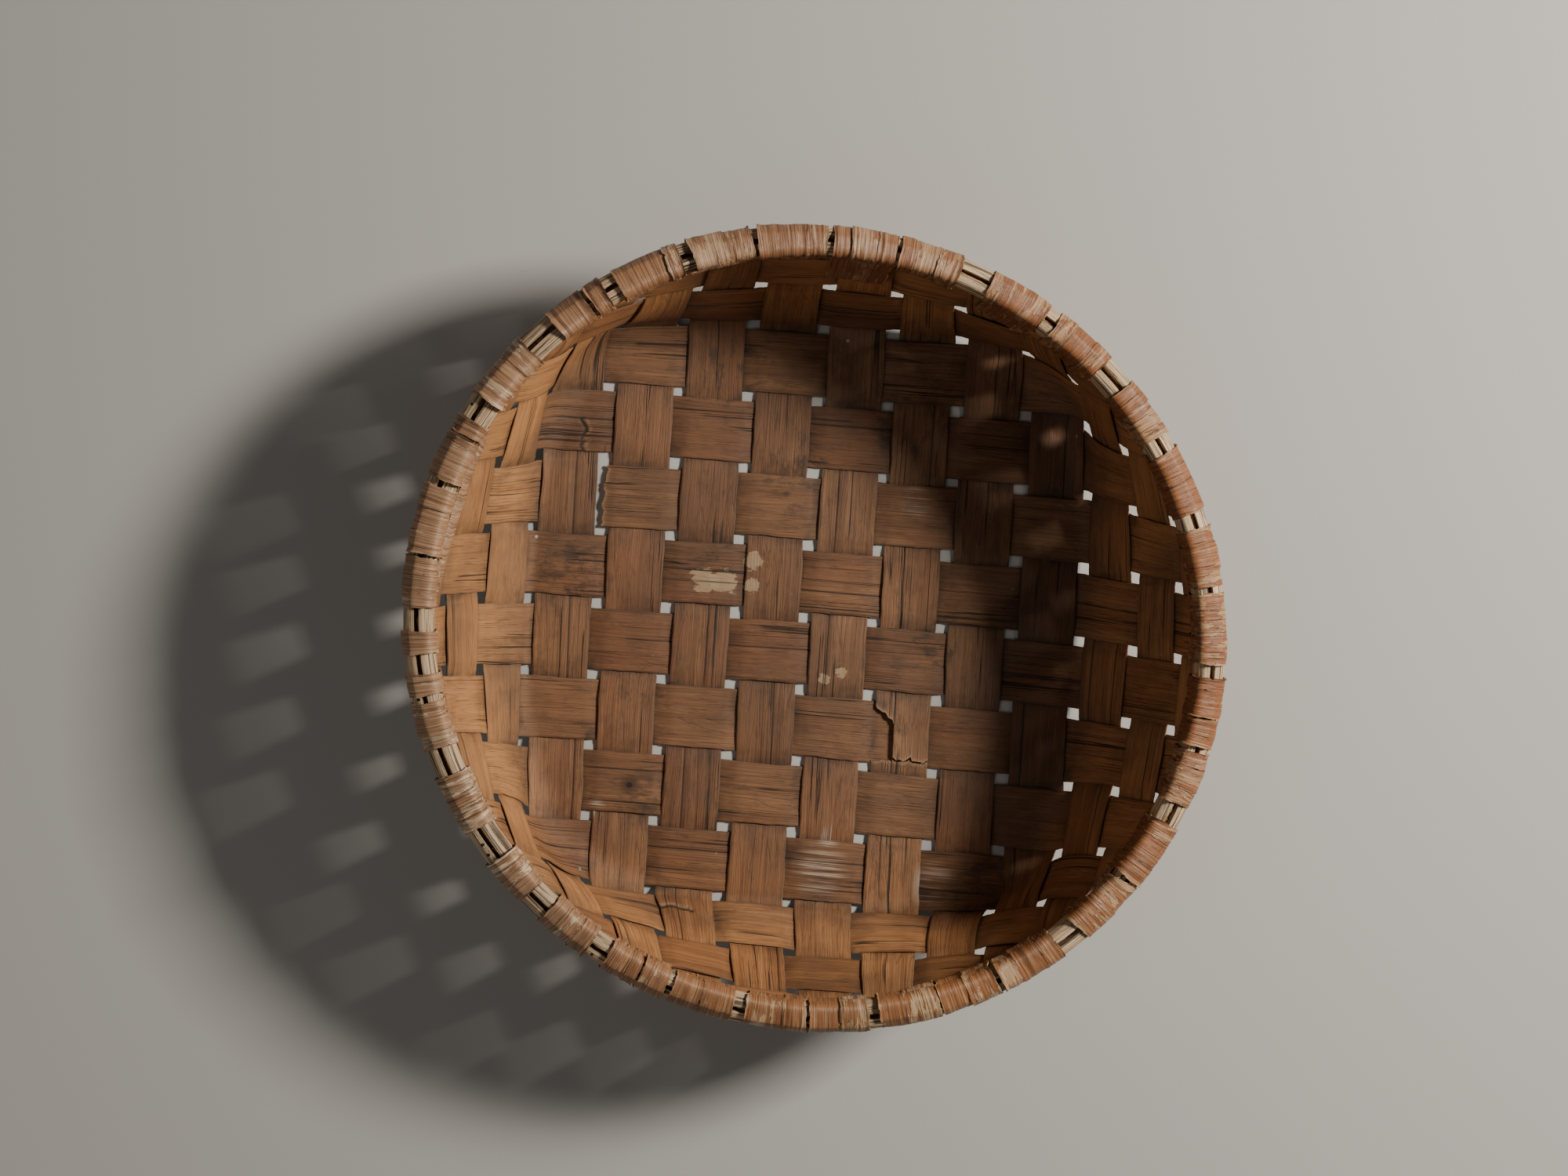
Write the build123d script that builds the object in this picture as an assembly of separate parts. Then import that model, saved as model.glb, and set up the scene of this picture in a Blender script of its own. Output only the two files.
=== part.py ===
from build123d import *
import math
import os

# Winnowing basket: a square plaited bottom rising into a round rim.  Flat wood
# splints are woven over one, under one.  Their ends stand in the slot between an
# inner and an outer hoop, and bands of bark bind the two hoops all the way round.
# Millimetres, +Z up, origin at the centre of the flat underside.
# +X runs along the weft splints, +Y along the warp splints.

# ---- driving dimensions -------------------------------------------------------
outside_diameter = 499.0      # over the bark wraps
overall_height = 120.0        # from the floor to the top of the wraps
bottom_share_x = 0.7054       # length of the woven bottom along X / outside diameter
bottom_share_y = 0.7375       # length of the woven bottom along Y / outside diameter
bottom_splints = 8            # splints of each family that cross the bottom
woven_splints = 14            # splints of each family in the whole basket
named_splints = 12            # of those, the ones with a node of their own
warp_gap = 7.5                # open gap between neighbouring warps
weft_gap = 6.0                # open gap between neighbouring wefts
splint_thickness = 0.9
weave_crown = 1.15            # rise of a splint's middle line over a crossing
seat_depth = 0.08             # how much of each lowest crest is worn flat
corner_squareness = 4.0       # exponent of the bottom's rounded-square outline
fold_radius = 9.0             # bend from the bottom into the wall
fold_setback = 4.0            # from the fold's start to the last bottom splint's far line
corner_spread = 0.04          # turn of the splints away from the corners, radians
corner_stretch = 0.15         # lengthening of the weave up the corners
stretch_ease = 30.0           # distance past the fold over which that sets in

rim_tilt = 15.0               # lean of the rim outwards, degrees
hoop_height = 16.0
outer_hoop_depth = 8.2        # half-round rod, flat face to the weave
inner_hoop_depth = 6.5
slot_width = 3.3              # between the hoops, filled by the splint ends
slot_clearance = 0.05         # between two splints that cross in the slot
hoop_scarf_angle = 16.0       # slope of the joint in each hoop, degrees
hoop_scarf_gap = 0.4

bark_thickness = 1.5
bark_clearance = 0.3          # between a wrap and the hoops
bark_notch = 4.6              # where the weave passes into a wrap
strap_width = 12.0            # band that goes through the weave under the hoops
slit_clearance = 0.35         # round that band, in the splints

# Bark wraps: start angle and width in degrees, counter-clockwise from +X.
# Two entries in one row are two bands that lie edge to edge as one wrap.
wide_wraps = [
    [(-1.4, 10.3)], [(9.9, 8.7)], [(21.2, 9.6)], [(33.1, 8.9)], [(46.4, 9.4)],
    [(57.7, 9.4)], [(72.1, 9.2)], [(81.8, 9.4)], [(91.9, 10.2)], [(103.2, 8.9)],
    [(113.7, 9.7)], [(128.5, 5.6)], [(138.9, 9.5)], [(154.5, 6.8)], [(162.3, 9.9)],
    [(172.6, 7.1)], [(193.5, 6.9)], [(204.6, 8.9)], [(218.8, 6.8)], [(229.4, 8.1)],
    [(240.5, 5.3), (246.1, 4.3)], [(251.4, 9.5)], [(262.8, 9.1)], [(272.4, 8.9)],
    [(282.9, 8.9)], [(292.1, 8.7)], [(301.4, 9.6)], [(315.1, 9.4)], [(324.9, 9.7)],
    [(337.8, 7.9)], [(346.6, 4.0), (350.9, 5.8)],
]
narrow_ties = [(125.4, 2.5), (151.8, 2.4), (183.2, 3.3), (189.4, 3.2)]
outer_scarf_wrap = 6          # index of the wide wrap that hides the outer joint
inner_scarf_wrap = 21         # index of the wide wrap that hides the inner joint

# ---- sizes that follow ---------------------------------------------------------
warp_pitch = bottom_share_x * outside_diameter / bottom_splints
weft_pitch = bottom_share_y * outside_diameter / bottom_splints
warp_width = warp_pitch - warp_gap
weft_width = weft_pitch - weft_gap
fold_start_x = bottom_splints * warp_pitch / 2 - fold_setback
fold_start_y = bottom_splints * weft_pitch / 2 - fold_setback

tilt = math.radians(rim_tilt)
half_hoop = hoop_height / 2
half_slot = slot_width / 2
wrap_offset = bark_clearance + bark_thickness
outer_arc = (half_hoop ** 2 + outer_hoop_depth ** 2) / (2 * outer_hoop_depth)
outer_arc_centre = half_slot + outer_hoop_depth - outer_arc
inner_arc = (half_hoop ** 2 + inner_hoop_depth ** 2) / (2 * inner_hoop_depth)
inner_arc_centre = inner_arc - half_slot - inner_hoop_depth
rim_radius = outside_diameter / 2 - wrap_offset - outer_arc - outer_arc_centre * math.cos(tilt)
rim_height = overall_height - wrap_offset - inner_arc + inner_arc_centre * math.sin(tilt)

floor_to_middle = weave_crown + splint_thickness / 2 - seat_depth
entry_radius = rim_radius - half_hoop * math.sin(tilt)
entry_height = rim_height - half_hoop * math.cos(tilt)
splint_top = rim_height + half_hoop / 2
slot_lift = splint_thickness / 2 + slot_clearance


# ---- the woven surface -----------------------------------------------------------
def fold_start_at(angle):
    """Distance from the centre to the start of the fold: a rounded square."""
    x = abs(math.cos(angle)) / fold_start_x
    y = abs(math.sin(angle)) / fold_start_y
    return (x ** corner_squareness + y ** corner_squareness) ** (-1 / corner_squareness)


def meridian(angle, distance):
    """Radius and height at a distance from the centre, measured along the weave:
    flat, then the fold's arc, then one gentle arc that reaches the slot between
    the hoops at its own slope, then straight up the slot."""
    start = fold_start_at(angle)
    if distance <= start:
        return distance, floor_to_middle
    slope = math.pi / 2 - tilt
    run = entry_radius - start
    rise = entry_height - floor_to_middle
    first = slope
    for _ in range(12):
        across = run - fold_radius * math.sin(first)
        up = rise - fold_radius * (1 - math.cos(first))
        first = 2 * math.atan2(up, across) - slope
    past = distance - start
    bend = fold_radius * first
    if past <= bend:
        turn = past / fold_radius
        return start + fold_radius * math.sin(turn), floor_to_middle + fold_radius * (1 - math.cos(turn))
    radius = start + fold_radius * math.sin(first)
    height = floor_to_middle + fold_radius * (1 - math.cos(first))
    past -= bend
    chord = math.hypot(entry_radius - radius, entry_height - height)
    half_turn = (slope - first) / 2
    if abs(half_turn) < 1e-6:
        half_turn = 1e-6
    wall = chord * half_turn / math.sin(half_turn)
    arc = wall / (2 * half_turn)
    along = min(past, wall)
    turn = first + along / arc
    radius += arc * (math.sin(turn) - math.sin(first))
    height += arc * (math.cos(first) - math.cos(turn))
    rest = past - along
    return radius + rest * math.sin(tilt), height + rest * math.cos(tilt)


def smooth_point(u, v):
    """Point of the woven surface for the flat plaiting's coordinates (u, v)."""
    flat = math.hypot(u, v)
    if flat < 1e-9:
        return Vector(0, 0, floor_to_middle)
    theta = math.atan2(v, u)
    start = fold_start_at(theta)
    past = flat - start
    if past <= 0:
        return Vector(u, v, floor_to_middle)
    share = min(past / (outside_diameter / 4), 1.1)
    angle = theta + corner_spread * share * math.sin(4 * theta)
    stretch = corner_stretch * (1 - math.cos(4 * theta)) / 2
    distance = fold_start_at(angle) + past + stretch * past ** 2 / (past + stretch_ease)
    radius, height = meridian(angle, distance)
    return Vector(radius * math.cos(angle), radius * math.sin(angle), height)


def smooth_normal(u, v):
    """Unit normal of the woven surface, towards the inside of the basket."""
    step = 1.5
    along_u = smooth_point(u + step, v) - smooth_point(u - step, v)
    along_v = smooth_point(u, v + step) - smooth_point(u, v - step)
    return along_u.cross(along_v).normalized()


grid_cache = {}


def grid_node(u, v):
    """Point and normal at one line crossing of the plaiting's grid."""
    key = (round(u, 4), round(v, 4))
    if key not in grid_cache:
        grid_cache[key] = (smooth_point(u, v), smooth_normal(u, v))
    return grid_cache[key]


def crossing_height(offset, pitch):
    """Height of a splint's middle line over the weave's middle surface, at an
    offset along it from a crossing: flat-topped, and zero half a pitch away."""
    wave = math.cos(math.pi * offset / pitch)
    sharp = 0.4
    return weave_crown * math.sqrt(1 + sharp ** 2) * wave / math.sqrt(wave ** 2 + sharp ** 2)


def sheet(a, b, c, d):
    """One flat face where four corners lie in one plane, else two triangles."""
    warp = (b - a).cross(d - a).normalized().dot(c - a)
    corners = [[a, b, c, d]] if abs(warp) < 1e-6 else [[a, b, c], [a, c, d]]
    return [Face(Wire.make_polygon(points, close=True)) for points in corners]


def skin(rings):
    """Solid through a row of closed six-cornered sections, closed at both ends."""
    faces = []
    for ring in (rings[0], rings[-1]):
        faces += sheet(ring[0], ring[1], ring[4], ring[5])
        faces += sheet(ring[1], ring[2], ring[3], ring[4])
    for near, far in zip(rings, rings[1:]):
        for k in range(6):
            faces += sheet(near[k], near[(k + 1) % 6], far[(k + 1) % 6], far[k])
    return Solid(Shell(faces))


def splint(family, index):
    """One splint: thin creased sections every few millimetres of its length,
    joined by straight faces, worn flat at the floor and trimmed near the rim's top.
    Family 0 runs along Y at an index along X, family 1 runs along X."""
    pitches = (warp_pitch, weft_pitch)
    widths = (warp_width, weft_width)
    own_pitch, other_pitch = pitches[family], pitches[1 - family]
    own_half, other_half = widths[family] / 2, widths[1 - family] / 2
    centre = (index + 0.5) * own_pitch

    def node(across, along):
        if family == 0:
            return grid_node(across, along)
        return grid_node(along, across)

    stations = []
    for other in range(-woven_splints, woven_splints):
        middle = (other + 0.5) * other_pitch
        over = 1 if (index + other) % 2 == family else -1
        lines = [middle - other_half, middle, middle + other_half]
        for k, share in ((0, 0.0), (0, 0.5), (1, 0.0), (1, 0.5), (2, 0.0)):
            low = lines[k]
            high = lines[min(k + 1, 2)]
            position = low + (high - low) * share
            rise = over * -crossing_height(position - middle, other_pitch)
            stations.append((low, high, share, rise, position))

    sections = []
    for low, high, share, rise, position in stations:
        tops = []
        bottoms = []
        lowest = overall_height
        for across in (centre - own_half, centre, centre + own_half):
            point_low, normal_low = node(across, low)
            point_high, normal_high = node(across, high)
            point = point_low * (1 - share) + point_high * share
            normal = normal_low * (1 - share) + normal_high * share
            near_rim = max(0.0, entry_height - 4.0 - point.Z)
            limit = slot_lift + 0.04 * near_rim
            lift = max(-limit, min(limit, rise))
            tops.append(point + normal * (lift + splint_thickness / 2))
            under = point + normal * (lift - splint_thickness / 2)
            bottoms.append(Vector(under.X, under.Y, max(under.Z, 0.0)))
            lowest = min(lowest, point.Z)
        sections.append((position, lowest, tops, bottoms))

    low_side = [k for k, s in enumerate(sections) if s[0] < 0 and s[1] > splint_top + 1]
    high_side = [k for k, s in enumerate(sections) if s[0] > 0 and s[1] > splint_top + 1]
    kept = sections[max(low_side):min(high_side) + 1]
    body = skin([tops + bottoms[::-1] for _, _, tops, bottoms in kept])
    above = Box(2 * outside_diameter, 2 * outside_diameter, overall_height)
    return body.cut(Pos(0, 0, splint_top + overall_height / 2) * above)


# ---- the rim -----------------------------------------------------------------------
def rim_point(across, up):
    """Point of the rim's section in the XZ plane: across is outwards from the
    middle of the slot, up is along the slot, and both lean with the rim."""
    radius = rim_radius + across * math.cos(tilt) + up * math.sin(tilt)
    height = rim_height - across * math.sin(tilt) + up * math.cos(tilt)
    return Vector(radius, 0, height)


def half_round(flat_at, crown_at):
    """Section of a hoop: a flat face towards the weave and a rounded back."""
    low = rim_point(flat_at, -half_hoop)
    high = rim_point(flat_at, half_hoop)
    crown = rim_point(crown_at, 0)
    return Face(Wire([Edge.make_line(low, high), Edge.make_three_point_arc(high, crown, low)]))


def rim_outline(offset):
    """Outline round both hoops, at an offset outside them."""
    right = half_slot + outer_hoop_depth + offset
    left = half_slot + inner_hoop_depth + offset
    tall = half_hoop + offset
    top_left, top_right = rim_point(-half_slot, tall), rim_point(half_slot, tall)
    low_left, low_right = rim_point(-half_slot, -tall), rim_point(half_slot, -tall)
    return Face(Wire([
        Edge.make_line(top_left, top_right),
        Edge.make_three_point_arc(top_right, rim_point(right, 0), low_right),
        Edge.make_line(low_right, low_left),
        Edge.make_three_point_arc(low_left, rim_point(-left, 0), top_left),
    ]))


def rim_patch(across, low, high):
    """Rectangle of the rim's section, centred across the slot."""
    corners = [rim_point(-across, low), rim_point(across, low),
               rim_point(across, high), rim_point(-across, high)]
    return Face(Wire.make_polygon(corners, close=True))


def turned(face, start, width):
    """Solid of revolution of a rim section between two angles, in degrees."""
    return Solid.revolve(face.rotate(Axis.Z, start), width, Axis.Z)


def bark_band(start, width):
    """One band of bark: a shell round both hoops, notched where the weave comes
    in, with a narrower strap through the weave that closes it underneath."""
    ring = rim_outline(wrap_offset) - rim_outline(bark_clearance)
    notch = rim_patch(bark_notch / 2, -half_hoop - 3 * wrap_offset, -half_hoop * 0.5)
    shell = turned((ring - notch).face(), start, width)
    strap_angle = min(math.degrees(strap_width / rim_radius), width - 0.6)
    strap_face = rim_patch(bark_notch / 2 + 0.5, -half_hoop - wrap_offset, -half_hoop - bark_clearance)
    strap = turned(strap_face, start + (width - strap_angle) / 2, strap_angle)
    return (shell + strap).solid()


def strap_slit(start, width):
    """Opening through the weave for one band's strap."""
    strap_angle = min(math.degrees(strap_width / rim_radius), width - 0.6)
    spare = math.degrees(slit_clearance / rim_radius)
    low = -half_hoop - wrap_offset - slit_clearance
    high = -half_hoop - bark_clearance + slit_clearance
    opening = rim_patch(5.0, low, high)
    first = start + (width - strap_angle) / 2 - spare
    return turned(opening, first, strap_angle + 2 * spare)


def scarf_cut(angle, width):
    """Thin oblique slab that parts a hoop under one wrap."""
    slab = Box(60, hoop_scarf_gap, 40)
    middle = math.radians(angle + width / 2)
    place = Location((rim_radius * math.cos(middle), rim_radius * math.sin(middle), rim_height))
    turn = Location((0, 0, 0), (0, 0, math.degrees(middle) + 90 - hoop_scarf_angle))
    return place * turn * slab


def scarfed_hoop(section, wrap):
    """Whole turn of a hoop's section, parted by its joint."""
    start, width = wrap
    ring = Solid.revolve(section, 360, Axis.Z)
    return (ring - scarf_cut(start, width)).solid()


# ---- build and write ------------------------------------------------------------------
os.makedirs("parts", exist_ok=True)

all_bands = [band for wrap in wide_wraps for band in wrap] + narrow_ties
slits = [strap_slit(start, width) for start, width in all_bands]


def pierced(body):
    """A splint with the slits of every strap that meets it."""
    box = body.bounding_box()
    near = []
    for slit in slits:
        other = slit.bounding_box()
        if other.min.X < box.max.X and other.max.X > box.min.X:
            if other.min.Y < box.max.Y and other.max.Y > box.min.Y:
                near.append(slit)
    return body.cut(*near)


def write(name, bodies):
    """One node: a single solid, or a group of separate solids."""
    shape = bodies[0] if len(bodies) == 1 else Compound(children=bodies)
    export_step(shape, os.path.join("parts", name + ".step"))
    print(name, len(bodies), round(sum(b.volume for b in bodies), 1))


first_woven = -woven_splints // 2
first_named = -named_splints // 2
edge_bodies = []
for family, family_name in ((0, "warp"), (1, "weft")):
    for index in range(first_woven, -first_woven):
        bodies = list(pierced(splint(family, index).solid()).solids())
        if first_named <= index < -first_named:
            write(f"{family_name}_splint_{index - first_named + 1:02d}", bodies)
        else:
            edge_bodies += bodies
write("edge_splints", edge_bodies)

outer_section = half_round(half_slot, half_slot + outer_hoop_depth)
inner_section = half_round(-half_slot, -half_slot - inner_hoop_depth)
write("outer_hoop", [scarfed_hoop(outer_section, wide_wraps[outer_scarf_wrap][0])])
write("inner_hoop", [scarfed_hoop(inner_section, wide_wraps[inner_scarf_wrap][0])])

for number, wrap in enumerate(wide_wraps, 1):
    write(f"bark_wrap_{number:02d}", [bark_band(start, width) for start, width in wrap])
write("narrow_bark_ties", [bark_band(start, width) for start, width in narrow_ties])
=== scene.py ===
import math

import bmesh
import bpy
import numpy as np
from mathutils import Matrix, Vector


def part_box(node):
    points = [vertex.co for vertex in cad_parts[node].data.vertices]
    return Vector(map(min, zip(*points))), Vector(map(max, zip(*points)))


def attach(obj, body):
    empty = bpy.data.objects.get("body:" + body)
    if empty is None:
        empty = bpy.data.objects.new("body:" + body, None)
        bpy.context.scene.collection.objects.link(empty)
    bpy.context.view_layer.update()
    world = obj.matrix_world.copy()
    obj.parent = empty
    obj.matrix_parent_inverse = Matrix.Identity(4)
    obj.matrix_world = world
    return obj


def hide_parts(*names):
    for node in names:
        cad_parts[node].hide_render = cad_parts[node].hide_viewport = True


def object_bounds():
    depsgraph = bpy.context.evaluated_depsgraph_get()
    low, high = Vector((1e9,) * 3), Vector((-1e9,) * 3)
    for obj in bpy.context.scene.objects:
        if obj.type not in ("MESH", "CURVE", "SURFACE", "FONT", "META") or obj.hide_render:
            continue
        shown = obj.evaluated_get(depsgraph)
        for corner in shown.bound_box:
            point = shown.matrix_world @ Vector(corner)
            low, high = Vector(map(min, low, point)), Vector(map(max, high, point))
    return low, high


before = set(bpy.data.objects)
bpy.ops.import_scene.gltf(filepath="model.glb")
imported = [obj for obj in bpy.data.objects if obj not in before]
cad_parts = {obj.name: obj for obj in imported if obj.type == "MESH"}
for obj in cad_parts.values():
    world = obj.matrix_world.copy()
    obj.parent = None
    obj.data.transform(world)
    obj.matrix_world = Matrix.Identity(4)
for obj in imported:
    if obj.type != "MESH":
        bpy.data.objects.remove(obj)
cad_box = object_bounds()

# Winnowing basket.  Lengths in the shape functions are millimetres; a mesh is
# written in metres, and its grain's UV map in units of 100 mm.  +X runs along the
# wefts, +Y along the warps, +Z is up.
MM = 0.001
uv_unit = 100.0
low_corner, high_corner = (np.array(corner) / MM for corner in cad_box)
outside_diameter = high_corner[0] - low_corner[0]

# ---- the weave's sizes, as the frame has them ----
# The bottom takes up a share of the outside diameter each way and holds the same
# number of splints each way.  Between neighbours there is a gap, and the fold into
# the wall starts a little inside the bottom's edge.
bottom_splints = 8
bottom_share_x = 0.7054
bottom_share_y = 0.7375
warp_gap = 8.3
weft_gap = 6.8
fold_setback = 4.0
warp_pitch = bottom_share_x * outside_diameter / bottom_splints
weft_pitch = bottom_share_y * outside_diameter / bottom_splints
warp_width = warp_pitch - warp_gap
weft_width = weft_pitch - weft_gap
fold_x = bottom_splints / 2 * warp_pitch - fold_setback
fold_y = bottom_splints / 2 * weft_pitch - fold_setback
splint_thickness = 0.9
weave_crown = 1.15
corner_squareness = 4.0
corner_setback = 0.7
fold_radius = 9.0
corner_fold_extra = 18.0
tilt = math.radians(15.0)
half_hoop = 8.0
half_slot = 1.65
outer_depth = 8.2
inner_depth = 6.5
floor_clearance = 0.05
floor_to_middle = weave_crown + splint_thickness / 2 + floor_clearance
splint_face = floor_to_middle + weave_crown + splint_thickness / 2

# The slot between the hoops: its middle is a little above the middle of the outer
# hoop's box, and nearly that hoop's depth inside its edge.  The splints enter the
# slot from below and end inside it.
slot_rise = 1.4
slot_out = 0.35
splint_reach = 0.45
outer_low, outer_high = (np.array(corner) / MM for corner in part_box("outer_hoop"))
rim_height = (outer_low[2] + outer_high[2]) / 2 + slot_rise
rim_radius = outer_high[0] - outer_depth + slot_out
entry_radius = rim_radius - half_hoop * math.sin(tilt)
entry_height = rim_height - half_hoop * math.cos(tilt)
splint_top = rim_height + half_hoop * splint_reach

# How the real basket strays from an even, round one.
oval = 0.0205
oval_shrink = 0.003
long_way = math.radians(-26.7)


def held(value):
    """Value held between 0 and 1."""
    return np.clip(value, 0, 1)


def waves(x, y, seed, count=7, steep=1.0):
    """Smooth random surface between about -1 and 1: a sum of sine waves with
    seeded directions and phases, each shorter wave being weaker."""
    rng = np.random.default_rng(seed)
    total = np.zeros(np.broadcast(x, y).shape)
    weight = 0.0
    for k in range(count):
        turn = rng.uniform(0, 2 * math.pi)
        phase = rng.uniform(0, 6.28)
        scale = 1.6 ** k
        share = 1 / scale ** steep
        total += share * np.sin(scale * (x * math.cos(turn) + y * math.sin(turn)) + phase)
        weight += share
    return total / weight * 1.6


# ---- the woven surface ----
def fold_round(angle):
    """Radius of the bend into the wall: tight along the sides, wide at corners."""
    return fold_radius + corner_fold_extra * ((1 - np.cos(4 * angle)) / 2) ** 2


def fold_start(angle):
    """Distance from the centre to the start of the fold: a rounded square, moved
    in where the fold is wider so that the wall stands in the same place."""
    x = np.abs(np.cos(angle)) / fold_x
    y = np.abs(np.sin(angle)) / fold_y
    square = (x ** corner_squareness + y ** corner_squareness) ** (-1 / corner_squareness)
    return square - corner_setback * (fold_round(angle) - fold_radius)


def meridian(angle, distance):
    """Radius and height at a distance from the centre along the weave: flat, the
    fold's arc, one gentle arc up to the rim's slot, then straight up the slot.  The
    fold's turn is settled in a few rounds, so that the gentle arc meets the slot
    at the slot's own slope."""
    settling_rounds = 12
    start = fold_start(angle)
    bend_radius = fold_round(angle)
    slope = math.pi / 2 - tilt
    run = entry_radius - start
    rise = entry_height - floor_to_middle
    first = np.full(np.shape(angle), slope)
    for _ in range(settling_rounds):
        across = run - bend_radius * np.sin(first)
        up = rise - bend_radius * (1 - np.cos(first))
        first = 2 * np.arctan2(up, across) - slope
    past = np.maximum(distance - start, 0)
    in_bend = np.minimum(past, bend_radius * first)
    turn = in_bend / bend_radius
    radius = np.minimum(distance, start) + bend_radius * np.sin(turn)
    height = floor_to_middle + bend_radius * (1 - np.cos(turn))
    end_radius = start + bend_radius * np.sin(first)
    end_height = floor_to_middle + bend_radius * (1 - np.cos(first))
    chord = np.hypot(entry_radius - end_radius, entry_height - end_height)
    half_turn = (slope - first) / 2
    half_turn = np.where(np.abs(half_turn) < 1e-5, 1e-5, half_turn)
    wall = chord * half_turn / np.sin(half_turn)
    arc = wall / (2 * half_turn)
    along = np.clip(past - bend_radius * first, 0, wall)
    turn = first + along / arc
    radius = radius + np.where(along > 0, arc * (np.sin(turn) - np.sin(first)), 0)
    height = height + np.where(along > 0, arc * (np.cos(first) - np.cos(turn)), 0)
    rest = np.maximum(past - bend_radius * first - wall, 0)
    return radius + rest * math.sin(tilt), height + rest * math.cos(tilt)


def strayed(u, v):
    """Where a place of the even plaiting really lies: the wefts slant down to the
    right, more so in the front, and the whole is pulled a little wider."""
    reach = 200.0
    x = np.clip(u / reach, -1.2, 1.2)
    y = np.clip(v / reach, -1.2, 1.2)
    return u + 1.5 * x - 0.7 * y, v - 4.2 * x + 1.0 * y + 3.5 * x * y - 1.65 * x ** 2


def out_of_round(points):
    """The rim is a slight oval: every point's distance from the axis is stretched
    along the long way and shrunk across it, the more the higher it is."""
    share = held(points[:, 2] / rim_height)
    climb = share ** 2 * (3 - 2 * share)
    angle = np.arctan2(points[:, 1], points[:, 0])
    stretch = 1 + climb * (oval * np.cos(2 * (angle - long_way)) - oval_shrink)
    return np.column_stack([points[:, :2] * stretch[:, None], points[:, 2]])


def woven_point(u, v):
    """Point of the weave's middle surface for the flat plaiting's (u, v): the same
    direction from the centre, turned a little away from the corners, and carried
    up the meridian by the same distance, stretched a little up the corners."""
    corner_turn, corner_stretch, stretch_ease = 0.04, 0.15, 30.0
    u, v = np.broadcast_arrays(np.asarray(u, float), np.asarray(v, float))
    u, v = strayed(u, v)
    flat = np.hypot(u, v)
    theta = np.arctan2(v, u)
    past = np.maximum(flat - fold_start(theta), 0)
    reach = np.minimum(past / (outside_diameter / 4), 1.1)
    angle = theta + corner_turn * reach * np.sin(4 * theta)
    stretch = corner_stretch * (1 - np.cos(4 * theta)) / 2
    walked = past + stretch * past ** 2 / (past + stretch_ease)
    distance = np.where(past > 0, fold_start(angle) + walked, flat)
    radius, height = meridian(angle, distance)
    return np.stack([radius * np.cos(angle), radius * np.sin(angle), height], -1)


def woven_normal(u, v):
    """Unit normal of the weave's middle surface, towards the inside."""
    step = 2.5
    along_u = woven_point(u + step, v) - woven_point(u - step, v)
    along_v = woven_point(u, v + step) - woven_point(u, v - step)
    normal = np.cross(along_u, along_v)
    return normal / np.linalg.norm(normal, axis=-1, keepdims=True)


def over_under(along, pitch, first_over):
    """Height of a splint's middle line over the weave's: a flat-topped wave, up
    over one crossing and down under the next."""
    wave = np.cos(math.pi * (along / pitch - 0.5)) * np.where(first_over, 1, -1)
    sharp = 0.42
    return weave_crown * math.sqrt(1 + sharp ** 2) * wave / np.sqrt(wave ** 2 + sharp ** 2)


# ---- mesh building ----
def shell_faces(rows, columns, first, looped):
    """Quads of a closed shell over two grids of points, the second straight after
    the first: both skins, and the rims that join them.  A looped grid closes on
    itself along its rows."""
    index = np.arange(rows * columns).reshape(rows, columns) + first
    other = index + rows * columns
    if looped:
        index = np.vstack([index, index[:1]])
        other = np.vstack([other, other[:1]])

    def quads(a, b):
        return np.stack([a[:-1], a[1:], b[1:], b[:-1]], -1).reshape(-1, 4)

    parts = [quads(index[:, :-1], index[:, 1:]), quads(other[:, 1:], other[:, :-1]),
             quads(other[:, 0], index[:, 0]), quads(index[:, -1], other[:, -1])]
    if not looped:
        parts += [quads(index[0], other[0]), quads(other[-1], index[-1])]
    return np.concatenate(parts)


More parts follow.
